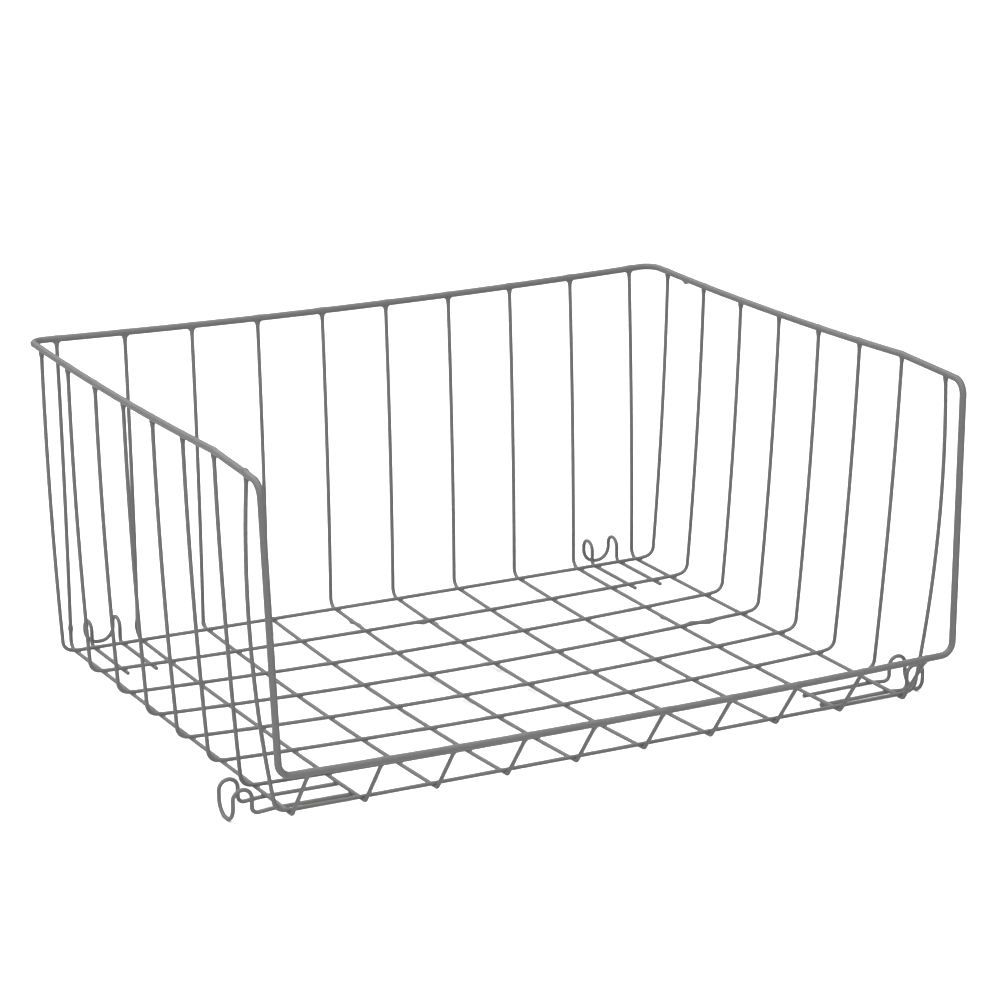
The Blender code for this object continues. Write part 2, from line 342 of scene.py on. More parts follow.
def bowed(start, end, bow):
    """A leg that bows off its chord by the vector bow, in a parabola."""
    s = np.linspace(0, 1, BAR_POINTS)[1:-1, None]
    return start + s * (end - start) + bow * 4 * s * (1 - s)


sample_bar = hanging(np.zeros(3), np.array([400, 0, 0]) * MM, 2 * MM)
print("a bar with a sag of 2 mm hangs down to, mm:", round(sample_bar[:, 2].min() / MM, 2))

# %% [markdown]
# ## A tube along a path
#
# A round wire is a circle carried along its path. At each ring two directions across the wire
# are needed that don't jump from ring to ring. Each path here gets one fixed reference
# direction that is never parallel to it, and the part of it that lies across the wire turns
# smoothly by itself.

# %% A circle carried along a path
WIRE_SIDES = 16
RIM_SIDES = 24


def carried_circle(path, radius, sides, reference, closed=False):
    """Points p + r (cos a times side + sin a times up), and their outward directions.

    side is the reference without its part along the wire, and up is along times side.
    """
    if closed:
        steps = unit(np.roll(path, -1, axis=0) - path)
        along = unit(steps + np.roll(steps, 1, axis=0))
    else:
        steps = unit(np.diff(path, axis=0))
        along = unit(np.vstack([steps[:1], steps[1:] + steps[:-1], steps[-1:]]))
    reference = unit(np.asarray(reference, float))
    side = unit(reference - (along @ reference)[:, None] * along)
    up = np.cross(along, side)
    a = 2 * np.pi * np.arange(sides) / sides
    outward = np.cos(a)[:, None] * side[:, None] + np.sin(a)[:, None] * up[:, None]
    return path[:, None] + radius * outward, outward


def grid_quads(rows, columns, close_rows=False):
    """Quads of a tube's points, numbered ring by ring, wound so that they face outwards."""
    i = np.arange(rows if close_rows else rows - 1)[:, None]
    j = np.arange(columns)[None]
    ahead = (i + 1) % rows * columns
    beside = (j + 1) % columns
    corners = (i * columns + j, i * columns + beside, ahead + beside, ahead + j)
    return np.stack(corners, axis=-1).reshape(-1, 4)


sample_tube, _ = carried_circle(sample_bar, WIRE_RADIUS, WIRE_SIDES, (0, 1, 0))
print("rings, sides and coordinates of a tube round that bar:", sample_tube.shape)

# %% Pieces
def make_piece(name, points, faces, slot, replaces=()):
    """A smooth mesh object at the origin that rides on the basket's one body."""
    mesh = bpy.data.meshes.new(name)
    mesh.from_pydata(points.reshape(-1, 3).tolist(), [], faces)
    mesh.polygons.foreach_set("use_smooth", np.ones(len(mesh.polygons), bool))
    mesh.materials.append(coats[slot])
    mesh.update()
    piece = bpy.data.objects.new(name, mesh)
    bpy.context.scene.collection.objects.link(piece)
    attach(piece, "root")
    if replaces:
        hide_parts(*replaces)
    return piece


print("slots that a piece can take its finish from:", list(coats))

# %% Cut ends, lumps and flares
CUT_EDGE = 0.5 * MM
EDGE_ANGLES = np.radians([20, 40, 60, 80])
END_TO_CENTRE = 1.0 * MM
FLARE_REACH = 1.5 * MM


def round_ends(path, radius):
    """Adds rings beyond both cut ends, so that the coat rounds their edges off.

    The extra rings lie at edge sin t beyond the cut and shrink by edge (1 - cos t).
    """
    reach = (CUT_EDGE * np.sin(EDGE_ANGLES))[:, None]
    shrink = CUT_EDGE * (1 - np.cos(EDGE_ANGLES))
    head = path[0] + reach[::-1] * unit(path[0] - path[1])
    tail = path[-1] + reach * unit(path[-1] - path[-2])
    width = np.concatenate([radius - shrink[::-1], np.full(len(path), radius), radius - shrink])
    return np.vstack([head, path, tail]), width[:, None, None]


def lumps_on(path, outward, lumps):
    """Lumps of coat: height times a bell curve along the wire, times how far a side faces them.

    Each lump is a rough centre, the direction it bulges in, its height and its half length. The
    centre moves to the nearest ring.
    """
    raised = np.zeros_like(outward)
    for centre, towards, height, reach in lumps:
        offsets = np.linalg.norm(path - np.asarray(centre) * MM, axis=1)
        offsets = np.linalg.norm(path - path[offsets.argmin()], axis=1)
        bell = np.exp(-((offsets / (reach * MM)) ** 2) / 2)
        facing = np.clip(outward @ unit(np.asarray(towards, float)), 0, 1) ** 2
        raised += (height * MM * bell[:, None] * facing)[..., None] * outward
    return raised


def flared(path, width, first, last):
    """Widens a leg towards the bar it is welded to, at its first end, its last end or both.

    The widening is its height times a bell curve around the ring at the bar's surface. A leg
    is cut off a little before the bar's centre, and its rounded edge reaches past the cut.
    """
    run = np.concatenate([[0], np.linalg.norm(np.diff(path, axis=0), axis=1).cumsum()])
    start = CUT_EDGE + RIM_RADIUS - END_TO_CENTRE
    for height, distance in ((first, run), (last, run[-1] - run)):
        bell = np.exp(-(((distance - start) / FLARE_REACH) ** 2) / 2)
        width = width + height * bell[:, None, None]
    return width


rounded_bar, _ = round_ends(sample_bar, WIRE_RADIUS)
print("rounding its ends gives that bar", len(rounded_bar) - len(sample_bar), "more rings")

# %% One open wire
def open_wire(node, path, reference, slot, lumps=(), flares=(0, 0)):
    """A round wire with two coated ends, its flares and the lumps where its coat gathered."""
    path, width = round_ends(filled(path), WIRE_RADIUS)
    width = flared(path, width, *flares)
    points, outward = carried_circle(path, width, WIRE_SIDES, reference)
    points = points + lumps_on(path, outward, lumps)
    rows = len(path)
    ring = list(range(WIRE_SIDES))
    caps = [ring[::-1], [(rows - 1) * WIRE_SIDES + j for j in ring]]
    faces = grid_quads(rows, WIRE_SIDES).tolist() + caps
    return make_piece(f"coated_{node}", points, faces, slot, [node])


print("an open wire has", WIRE_SIDES, "sides, and the rim", RIM_SIDES)

# %% [markdown]
# ## The rim
#
# The rim is one closed loop of thicker wire: a bar along the top of the back, two side bars,
# two posts down the front corners and the low lip bar that joins them. It is bent from a
# single length and butt-welded. The long bars hang a little under their own chords, so each
# is a parabola between its two bends. Near the front each side bar passes a soft shoulder
# and runs straight down to the corner. The solids are symmetric, but on the photographed
# basket the lip bar sits a little high at its left end, by less than a millimetre.

# %% Rim path
RIM_RIGHT_CORNERS = np.array([
    (195.5, 156.92, 182.716),
    (200.018, -97.48, 184.916),
    (201.0, -152.78, 182.616),
    (196.2, -157.78, 35.116),
]) * MM
RIM_RIGHT_RADII = (8.0 * MM, 120.0 * MM, 8.0 * MM, 7.0 * MM)
RIM_BACK_SAG = 2.8 * MM
RIM_SIDE_SAG = 2.0 * MM
LIP_SAG = 2.3 * MM
LIP_RIGHT_LIFT = 0.3 * MM
LIP_LEFT_LIFT = 0.9 * MM
MIRROR = np.array([-1, 1, 1])

# The bends' numbers round the loop. Each bar has the number of the bend before it.
BACK_RIGHT, RIGHT_SHOULDER, LIP_RIGHT, LIP_LEFT, BACK_LEFT = 0, 1, 3, 4, 7

rim_corners = np.vstack([RIM_RIGHT_CORNERS, RIM_RIGHT_CORNERS[::-1] * MIRROR])
rim_corners[LIP_RIGHT, 2] += LIP_RIGHT_LIFT
rim_corners[LIP_LEFT, 2] += LIP_LEFT_LIFT
rim_bends = bends(rim_corners, RIM_RIGHT_RADII + RIM_RIGHT_RADII[::-1], closed=True)
rim_sags = (RIM_SIDE_SAG, 0, 0, LIP_SAG, 0, 0, RIM_SIDE_SAG, RIM_BACK_SAG)
rim_bars = []
for i, sag in enumerate(rim_sags):
    start, end = rim_bends[i][-1], rim_bends[(i + 1) % len(rim_bends)][0]
    rim_bars.append(hanging(start, end, sag))
rim_path = np.vstack([part for pair in zip(rim_bends, rim_bars) for part in pair])
rim_path = filled(rim_path, closed=True)
right_bar = np.vstack([
    rim_bars[BACK_RIGHT],
    rim_bends[RIGHT_SHOULDER],
    rim_bars[RIGHT_SHOULDER],
])
left_bar = right_bar * MIRROR


def between_bends(first, second):
    """A bar with the end points of the two bends that it joins."""
    return np.vstack([rim_bends[first][-1:], rim_bars[first], rim_bends[second][:1]])


lip_bar = between_bends(LIP_RIGHT, LIP_LEFT)
back_bar = between_bends(BACK_LEFT, BACK_RIGHT)
rim_length = np.linalg.norm(rim_path - np.roll(rim_path, 1, axis=0), axis=1).sum()
print("rim wire, mm:", round(rim_length / MM))

# %% Places on a bar
def on_bar(bar, axis, value):
    """The centre of a rim bar where its x (axis 0) or y (axis 1) has this value."""
    order = np.argsort(bar[:, axis])
    return np.array([np.interp(value, bar[order, axis], bar[order, k]) for k in range(3)])


print("middle of the lip bar, mm:", np.round(on_bar(lip_bar, 0, 0) / MM, 1).tolist())

# %% [markdown]
# ## Cross wires and long wires
#
# Eight cross wires run up the left side, over the floor and up the right side. Ten long wires
# run down the back, forward under the cross wires and up again to the lip bar, with a sharp
# kick at the front. Between its welds each wire follows the floor's shallow bowl, which comes
# from the height formulas above, so the two layers meet at every crossing by themselves.

# %% Grid wire paths
SIDE_BEND_X = GRID_HALF_WIDTH + 8.7 * MM
SIDE_BEND_RISE = 1.2 * MM
SIDE_BEND_RADIUS = 6.0 * MM
SIDE_LEG_BOW = 1.2 * MM
FRONT_LEG_BOW = 5.2 * MM
SIDE_LEG_FORWARD = 1.2 * MM
BACK_BEND_REACH = 10.3 * MM
BACK_BEND_RADIUS = 5.5 * MM
BACK_LEG_DISH = 1.2 * MM
KICK_REACH = 1.7 * MM
KICK_RADIUS = 2.4 * MM
FLOOR_POINTS = 120


def side_top(row, side):
    """Where a cross wire's leg meets the rim's left (-1) or right (1) side bar."""
    bar = right_bar if side > 0 else left_bar
    return on_bar(bar, 1, ROW_Y[row] - SIDE_LEG_FORWARD)


def cross_wire_path(row):
    """Left leg, floor, right leg. The legs end inside the rim."""
    y = ROW_Y[row]
    bow = np.array([FRONT_LEG_BOW if row == CROSS_WIRES - 1 else SIDE_LEG_BOW, 0, 0])
    top = side_top(row, 1) - np.array([0, 0, END_TO_CENTRE])
    edge_z = cross_layer(GRID_HALF_WIDTH, y)
    edge = np.array([GRID_HALF_WIDTH, y, edge_z])
    corner = np.array([SIDE_BEND_X, y, edge_z + SIDE_BEND_RISE])
    arc = bends([edge, corner, top], [0, SIDE_BEND_RADIUS, 0])[1]
    right = np.vstack([arc, bowed(arc[-1], top, bow), top[None]])
    x = np.linspace(-GRID_HALF_WIDTH, GRID_HALF_WIDTH, FLOOR_POINTS)
    floor = np.stack([x, np.full_like(x, y), cross_layer(x, y)], axis=1)
    return np.vstack([right[::-1] * MIRROR, floor, right])


def long_wire_path(column):
    """Back leg, floor, kick. Both ends finish inside the rim."""
    x = COLUMN_X[column]
    top = on_bar(back_bar, 0, x) - np.array([0, 0, END_TO_CENTRE])
    lip = on_bar(lip_bar, 0, x)
    corner = np.array([x, BACK_ROW_Y + BACK_BEND_REACH, long_layer(x, BACK_ROW_Y)])
    kick = np.array([x, FRONT_ROW_Y - KICK_REACH, long_layer(x, FRONT_ROW_Y)])
    end = lip + unit(kick - lip) * END_TO_CENTRE
    y = np.linspace(BACK_ROW_Y, FRONT_ROW_Y, FLOOR_POINTS)
    floor = np.stack([np.full_like(y, x), y, long_layer(x, y)], axis=1)
    back_arc = bends([top, corner, floor[0]], [0, BACK_BEND_RADIUS, 0])[1]
    kick_arc = bends([floor[-1], kick, end], [0, KICK_RADIUS, 0])[1]
    leg = bowed(top, back_arc[0], np.array([0, -BACK_LEG_DISH, 0]))
    return np.vstack([top[None], leg, back_arc, floor[1:], kick_arc, end[None]])


cross_paths = [cross_wire_path(row) for row in range(CROSS_WIRES)]
long_paths = [long_wire_path(column) for column in range(LONG_WIRES)]
print("points along a cross wire and a long wire:", len(cross_paths[0]), len(long_paths[0]))

# %% [markdown]
# ## Where the coat gathered
#
# Powder melts before it sets, and where it lay too thick it ran together and left a small
# lump. The photographed basket has about ten: on the floor wires, beside two welds and at the
# feet of three back legs. Each is a bell-shaped swelling of the wire itself, given by a place,
# a direction, a height and a half length in millimetres, so it is real geometry and the light
# finds it from every side.

# %% Lumps on the grid wires
DOWN_LEFT = (-0.8, -0.3, -0.6)
wire_lumps = {
    "long_wire_1": [
        ((-180, 151, 18.5), (-1, 0, 0), 0.5, 1.2),
        ((-180, 151, 18.5), (1, 0, 0), 0.5, 1.2),
    ],
    "long_wire_2": [((-140, 151, 13.5), (-1, 0, 0), 0.7, 2.0)],
    "long_wire_3": [((-100, 151, 7.8), (-1, 0.3, -0.3), 0.5, 1.2)],
    "long_wire_5": [
        ((-20, 122.5, 5), DOWN_LEFT, 0.9, 1.5),
        ((-20, 115, 5), (1, 0.2, 0.2), 0.6, 1.6),
    ],
    "long_wire_6": [((20, 97.5, 5), (1, 0, 0.3), 0.9, 2.0)],
    "long_wire_9": [((140, 45.5, 5), DOWN_LEFT, 0.7, 1.4)],
    "cross_wire_2": [((14.5, 100.7, 6), (0, -0.5, -1), 0.9, 2.2)],
    "cross_wire_4": [
        ((144.5, 21.9, 7), (0, 0.3, 1), 0.8, 2.4),
        ((156, 21.9, 7), (0, -0.6, -1), 1.1, 3.0),
    ],
}
print("lumps:", sum(len(lumps) for lumps in wire_lumps.values()))

# %% Grid wires
FLARE_HEIGHT = 0.5 * MM
FLARE_SPREAD = (0.7, 1.2)
FLARE_SEED = 40
grid_wires = (("cross_wire", cross_paths, (0, 1, 0)), ("long_wire", long_paths, (1, 0, 0)))
draws = np.random.default_rng(FLARE_SEED)
for kind, paths, reference in grid_wires:
    for number, path in enumerate(paths, 1):
        node = f"{kind}_{number}"
        flares = FLARE_HEIGHT * draws.uniform(*FLARE_SPREAD, 2)
        open_wire(node, path, reference, "grid_coat", wire_lumps.get(node, ()), flares)
print("grid wires:", len(cross_paths), "cross and", len(long_paths), "long")

# %% [markdown]
# ## Stacking hooks
#
# Each hook is one wire. Its two tails lie under the floor and are welded there, then it climbs
# over a hump, drops outside, and its two sides meet in a round foot. The hump fits over the
# rim of a basket below. The shape is a list of corners again, first one side and then the same
# corners in reverse, one hook's width away.

# %% Hook sizes
HOOK_SPACING = 16.8 * MM
HOOK_HUMP_WIDTH = 10.2 * MM
HOOK_RADII = np.array([0, 3.4, 5.1, 5.1, 7.8]) * MM
FRONT_HOOK_Y = FRONT_ROW_Y + 0.6 * CROSS_PITCH
FRONT_TAIL_X = GRID_HALF_WIDTH - LONG_PITCH - 1.0 * MM
FRONT_KNEE_X = SIDE_BEND_X + 5.2 * MM
FRONT_HOOK_RISE = 13.2 * MM
FRONT_HOOK_DROP = 3.2 * MM
BACK_HOOK_X = GRID_HALF_WIDTH - LONG_PITCH / 2
BACK_TAIL_Y = BACK_ROW_Y - CROSS_PITCH - 3.5 * MM
BACK_KNEE_Y = BACK_ROW_Y + 8.2 * MM
BACK_HOOK_RISE = 13.4 * MM
BACK_HOOK_DROP = 1.2 * MM
print("a hook is, mm wide and deep:", HOOK_SPACING / MM, HOOK_HUMP_WIDTH / MM)

# %% A hook's path
def solid_layer(x, y, layers_down):
    """Centre height in the solids of the layer this many steps under the cross wires."""
    return CROSS_Z - floor_sag(x, y) - layers_down * SOLID_STEP


def hook_path(tail, knee, outwards, sideways, rise, drop):
    """Tail, knee, hump and foot on one side, then the same in reverse on the other side.

    outwards and sideways are unit vectors. The hump stands one rise above the knee, and the
    foot hangs one drop below it.
    """
    half = sideways * HOOK_SPACING / 2
    up = np.array([0, 0, rise])
    far = knee + outwards * HOOK_HUMP_WIDTH
    one_side = [tail, knee, knee + up, far + up, far - np.array([0, 0, drop])]
    corners = [p + half for p in one_side] + [p - half for p in one_side[::-1]]
    radii = np.concatenate([HOOK_RADII, HOOK_RADII[::-1]])
    return filled(np.vstack(bends(corners, radii)))


def pressed_up(path, inwards, knee, weld, lift):
    """Lifts the tails onto the wires above, by lift times (3 s squared - 2 s cubed).

    s is 0 at the knee, and 1 from the first weld inwards.
    """
    s = np.clip((path @ inwards - knee) / (weld - knee), 0, 1)
    lifted = path.copy()
    lifted[:, 2] += lift * s * s * (3 - 2 * s)
    return lifted


layer_heights = solid_layer(FRONT_TAIL_X, FRONT_HOOK_Y, np.arange(3)) / MM
print("the solids' three layers at a front hook's tail, mm:", np.round(layer_heights, 1).tolist())

# %% Four hooks
def front_hook_path(side):
    """A hook on the left (-1) or right (1), with its tails under the long wires."""
    tail = np.array([side * FRONT_TAIL_X, FRONT_HOOK_Y, solid_layer(FRONT_TAIL_X, FRONT_HOOK_Y, 2)])
    knee = np.array([side * FRONT_KNEE_X, FRONT_HOOK_Y, solid_layer(FRONT_KNEE_X, FRONT_HOOK_Y, 2)])
    out = np.array([side, 0, 0])
    path = hook_path(tail, knee, out, np.array([0, 1, 0]), FRONT_HOOK_RISE, FRONT_HOOK_DROP)
    lift = 2 * SOLID_STEP - 2 * WELDED_STEP - LAYER_SHIFT
    return pressed_up(path, -out, -FRONT_KNEE_X, -GRID_HALF_WIDTH, lift)


def back_hook_path(side):
    """A hook at the back, with its tails in the long wires' layer, under two cross wires."""
    x = side * BACK_HOOK_X
    tail = np.array([x, BACK_TAIL_Y, solid_layer(x, BACK_TAIL_Y, 1)])
    knee = np.array([x, BACK_KNEE_Y, solid_layer(x, BACK_ROW_Y, 1)])
    out = np.array([0, 1, 0])
    path = hook_path(tail, knee, out, np.array([1, 0, 0]), BACK_HOOK_RISE, BACK_HOOK_DROP)
    return pressed_up(path, -out, -BACK_KNEE_Y, -BACK_ROW_Y, LAYER_SHIFT)


DIAGONAL = (1, 1, 1)
hook_paths = {
    "hook_front_left": front_hook_path(-1),
    "hook_front_right": front_hook_path(1),
    "hook_back_left": back_hook_path(-1),
    "hook_back_right": back_hook_path(1),
}
for node, path in hook_paths.items():
    open_wire(node, path, DIAGONAL, "hook_coat")
print("hooks and their points:", {node: len(path) for node, path in hook_paths.items()})

# %% [markdown]
# ## Weld beads where wires cross
#
# At each crossing the hot metal, and the coat that flowed over it, fill the corner between two
# wires with a small hollow fillet. A ball rolled round the crossing, always touching both
# wires, leaves exactly that shape. Its centre stays one wire radius plus one ball radius from
# both axes, which gives a closed curve like the seam of a tennis ball, and the fillet is the
# part of the ball between its two points of contact. No boolean or remesh could keep so thin a
# blend so clean. In the front row the long wires kick up right beside the crossing, so the
# fillet has less room and the ball is smaller.

# %% The arc that a ball leaves
BEAD_TURNS = 40
BEAD_ARC = 7


def ball_arc(centre, first, second, ball, core):
    """The ball's surface between two contact directions, closed by a point inside the metal.

    first and second are unit vectors from the ball's centre to the two wires. The arc is the
    ball's radius times the blend (1 - v) first + v second, made a unit vector again.
    """
    v = np.linspace(0, 1, BEAD_ARC)[:, None]
    blend = unit((1 - v) * first[..., None, :] + v * second[..., None, :])
    arc = centre[..., None, :] + ball[..., None, None] * blend
    return np.concatenate([arc, core[..., None, :]], axis=-2)


print("a bead is a ring of", BEAD_TURNS, "arcs of", BEAD_ARC, "points and one inside")

# %% Rolling ball round a crossing
BEAD_OVERLAP = 0.06 * MM
CROSSING_BALL = 0.75 * MM
CROSSING_UNEVEN = (0.22, 0.16, 0.12)


def crossing_beads(lower, upper, along_lower, along_upper, seed, size=CROSSING_BALL):
    """Beads round the points where an upper wire crosses a lower one, all worked out at once.

    With a = wire radius + ball radius, d = the distance between the axes and q = (a - d / 2)
    cos 2t, the ball's centre is x = sin t sqrt(2 (a - d / 2) (a + d / 2 + q)), y = the same with
    cos t and -q, z = d / 2 + q, where x runs along the upper wire and y along the lower one. The
    ball is made uneven as a whole and by one and two waves round the crossing.
    """
    draws = np.random.default_rng(seed)
    count = len(lower)
    up = unit(upper - lower)
    e1 = unit(along_upper - (along_upper * up).sum(-1, keepdims=True) * up)
    e2 = unit(along_lower - (along_lower * up).sum(-1, keepdims=True) * up)
    t = 2 * np.pi * np.arange(BEAD_TURNS) / BEAD_TURNS
    uneven = draws.uniform(-1, 1, (count, 3, 1))
    whole, once, twice = (share * uneven[:, k] for k, share in enumerate(CROSSING_UNEVEN))
    ball = size * (1 + whole + once * np.sin(t) + twice * np.sin(2 * t))
    wire = WIRE_RADIUS - BEAD_OVERLAP
    a = wire + ball
    d = np.linalg.norm(upper - lower, axis=-1)[:, None]
    q = (a - d / 2) * np.cos(2 * t)
    x = np.sin(t) * np.sqrt(2 * (a - d / 2) * (a + d / 2 + q))
    y = np.cos(t) * np.sqrt(2 * (a - d / 2) * (a + d / 2 - q))
    z = d / 2 + q
    zero = np.zeros_like(x)

    def placed(px, py, pz):
        """Points px along the upper wire, py along the lower one and pz up from its axis."""
        parts = (px, e1), (py, e2), (pz, up)
        return lower[:, None] + sum(p[..., None] * e[:, None] for p, e in parts)

    centre = placed(x, y, z)
    to_lower = unit(placed(zero, y, zero) - centre)
    to_upper = unit(placed(x, zero, d + zero) - centre)
    core = placed(x / 2, y / 2, d / 2 + zero)
    return ball_arc(centre, to_lower, to_upper, ball, core)


# %% Faces of the beads
def bead_faces(beads):
    """Quads of many closed rings, each turned round if its own volume comes out negative."""
    count, turns, around = beads.shape[:3]
    one = grid_quads(turns, around, close_rows=True)
    points = beads.reshape(count, -1, 3)
    points = points - points.mean(axis=1, keepdims=True)
    a, b, c, d = (points[:, one[:, k]] for k in range(4))
    inside = (a * (np.cross(b, c) + np.cross(c, d))).sum(axis=(1, 2)) / 6
    faces = one + (np.arange(count) * turns * around)[:, None, None]
    faces = np.where(inside[:, None, None] > 0, faces, faces[:, :, ::-1])
    print(count, "rings, cubic mm each:", np.round(np.abs(inside[[0, -1]]) / MM**3, 2).tolist())
    return faces.reshape(-1, 4).tolist()


# %% Beads of the floor grid
KICK_BALL = 0.35 * MM
FLOOR_SEED = 1


def grid_crossings(x, y):
    """Centres and directions of the lower long wire and the upper cross wire at these places."""
    step = 1.0 * MM
    none = np.zeros_like(x)
    lower = np.stack([x, y, long_layer(x, y)], axis=1)
    upper = np.stack([x, y, cross_layer(x, y)], axis=1)
    rise_x = cross_layer(x + step, y) - cross_layer(x - step, y)
    rise_y = long_layer(x, y + step) - long_layer(x, y - step)
    along_upper = np.stack([none + 2 * step, none, rise_x], axis=1)
    along_lower = np.stack([none, none + 2 * step, rise_y], axis=1)
    return lower, upper, along_lower, along_upper


grid_x, grid_y = (part.ravel() for part in np.meshgrid(COLUMN_X, ROW_Y))
bead_size = np.where(grid_y == ROW_Y[-1], KICK_BALL, CROSSING_BALL)[:, None]
floor_beads = crossing_beads(*grid_crossings(grid_x, grid_y), FLOOR_SEED, bead_size)
make_piece("floor_weld_beads", floor_beads, bead_faces(floor_beads), "grid_coat")
print("floor welds:", len(floor_beads))

# %% Beads of the hooks' tails
FRONT_TAIL_SEED = 2
BACK_TAIL_SEED = 12


def nearest_heights(path, axes, places):
    """The path's height nearest to each place, measured in the two axes given by number."""
    away = np.linalg.norm(path[None, :, axes] - places[:, None, axes], axis=-1)
    return path[away.argmin(axis=1), 2]


pair = HOOK_SPACING / 2 * np.array([-1, 1])
first_two_columns = np.array([GRID_HALF_WIDTH, GRID_HALF_WIDTH - LONG_PITCH])
tail_beads = []
for i, (side, word) in enumerate(((-1, "left"), (1, "right"))):
    x, y = (part.ravel() for part in np.meshgrid(side * first_two_columns, FRONT_HOOK_Y + pair))
    upper, _, along_upper, along_lower = grid_crossings(x, y)
    lower = upper.copy()
    lower[:, 2] = nearest_heights(hook_paths[f"hook_front_{word}"], [0, 1], lower)
    places = (lower, upper, along_lower, along_upper)
    tail_beads.append(crossing_beads(*places, FRONT_TAIL_SEED + i))
    x, y = (part.ravel() for part in np.meshgrid(side * BACK_HOOK_X + pair, ROW_Y[:2]))
    lower, upper, along_lower, along_upper = grid_crossings(x, y)
    lower[:, 2] = nearest_heights(hook_paths[f"hook_back_{word}"], [0, 1], lower)
    places = (lower, upper, along_lower, along_upper)
    tail_beads.append(crossing_beads(*places, BACK_TAIL_SEED + i))
tail_beads = np.concatenate(tail_beads)
make_piece("tail_weld_beads", tail_beads, bead_faces(tail_beads), "hook_coat")
print("tail welds:", len(tail_beads))

# %% [markdown]
# ## Weld beads under the rim
#
# Every leg ends against the rim, where a thin wire meets a thick one at a right angle. The
# weld flares out round the leg, and the coat makes the flare smooth. The same rolling ball
# draws it: this time the ball touches the leg and the bar, and the flare at the back bar is
# the widest, as it is in the photograph.

# %% Rolling ball round a leg's end
JOINT_UNEVEN = (0.14, 0.12, 0.10)
CORE_DEPTH = 0.3 * MM


def joint_beads(place, along_bar, down_leg, size, seed):
    """Beads round legs that end against the rim, all worked out at once.

    w is the way from the leg's axis to the ball's centre, across the leg. With k = down_leg .
    along_bar and m = w . along_bar, the centre lies s down the leg from the bar's axis, where
    s (1 - k squared) = k m + the root of (k m) squared + (1 - k squared) times ((R + ball)
    squared + m squared - (r + ball) squared), for a leg of radius r and a bar of radius R.
    """
    draws = np.random.default_rng(seed)
    uneven = draws.uniform(-1, 1, (len(place), 3, 1))
    t = 2 * np.pi * np.arange(BEAD_TURNS) / BEAD_TURNS
    whole, sine, cosine = (share * uneven[:, k] for k, share in enumerate(JOINT_UNEVEN))
    ball = size * (1 + whole + sine * np.sin(t) + cosine * np.cos(t))
    leg = WIRE_RADIUS + FLARE_HEIGHT / 2 - BEAD_OVERLAP
    bar = RIM_RADIUS - BEAD_OVERLAP
    k = (down_leg * along_bar).sum(-1, keepdims=True)
    e1 = unit(along_bar - k * down_leg)
    e2 = np.cross(down_leg, e1)
    across = np.cos(t)[:, None] * e1[:, None] + np.sin(t)[:, None] * e2[:, None]
    w = (leg + ball)[..., None] * across
    m = (w * along_bar[:, None]).sum(-1)
    inside = (k * m) ** 2 + (1 - k**2) * ((bar + ball) ** 2 + m**2 - (leg + ball) ** 2)
    s = (k * m + np.sqrt(inside)) / (1 - k**2)
    off = w + s[..., None] * down_leg[:, None]
    centre = place[:, None] + off
    to_bar = unit((off * along_bar[:, None]).sum(-1, keepdims=True) * along_bar[:, None] - off)
    core = place[:, None] + (bar - CORE_DEPTH) * down_leg[:, None] + leg / 2 * across
    return ball_arc(centre, -across, to_bar, ball, core)


# %% Beads of the legs
SIDE_BALL = 1.4 * MM
BACK_BALL = 2.0 * MM
LIP_BALL = 0.9 * MM
JOINT_SEED = 20


def leg_ends(paths, end, bar):
    """Where legs meet a bar: the bar's centre and direction there, and the way down each leg."""
    tip = np.array([path[end] for path in paths])
    inner = np.array([path[end - 1 if end < 0 else 1] for path in paths])
    spot = np.linalg.norm(bar[None] - tip[:, None], axis=-1).argmin(axis=1).clip(1, len(bar) - 2)
    along = unit(bar[spot + 1] - bar[spot - 1])
    down = unit(inner - tip)
    back = ((tip - bar[spot]) * along).sum(-1, keepdims=True)
    place = bar[spot] + back * along
    return place, along, down


rim_joints = [
    (leg_ends(cross_paths, 0, filled(left_bar)), SIDE_BALL),
    (leg_ends(cross_paths, -1, filled(right_bar)), SIDE_BALL),
    (leg_ends(long_paths, 0, filled(back_bar)), BACK_BALL),
    (leg_ends(long_paths, -1, filled(lip_bar)), LIP_BALL),
]
rim_beads = np.concatenate([
    joint_beads(*ends, size, seed) for seed, (ends, size) in enumerate(rim_joints, JOINT_SEED)
])
make_piece("rim_weld_beads", rim_beads, bead_faces(rim_beads), "grid_coat")
print("welds under the rim:", len(rim_beads))

# %% [markdown]
# ## The rim's own surface
#
# Welding a leg pushes the hot bar up a little on the other side, most of all on the lip bar,
# and the butt weld that closes the loop leaves a burr. Both show through the coat, together
# with one drop of coat that set on the left bar. They are swellings of the rim's surface too,
# with least and greatest heights and half lengths in millimetres.

# %% Rim
RIM_SEED = 30
BAR_SWELLING = (0.06, 0.25)
LIP_SWELLING = (0.25, 0.5)
SWELLING_LENGTH = (1.2, 2.0)
draws = np.random.default_rng(RIM_SEED)
rim_lumps = [
    ((-200.8, -135.5, 183.3), (-0.1, 0.0, 1.0), 0.9, 1.1),
    ((196.1, 118.5, 181.9), (0.1, 0.0, -1.0), 1.4, 1.2),
]
for (place, _, down), size in rim_joints:
    swelling = LIP_SWELLING if size == LIP_BALL else BAR_SWELLING
    for centre, way in zip(place / MM, -down):
        rim_lumps.append((centre, way, draws.uniform(*swelling), draws.uniform(*SWELLING_LENGTH)))
rim_points, rim_outward = carried_circle(rim_path, RIM_RADIUS, RIM_SIDES, DIAGONAL, closed=True)
rim_points = rim_points + lumps_on(rim_path, rim_outward, rim_lumps)
rim_faces = grid_quads(len(rim_path), RIM_SIDES, close_rows=True).tolist()
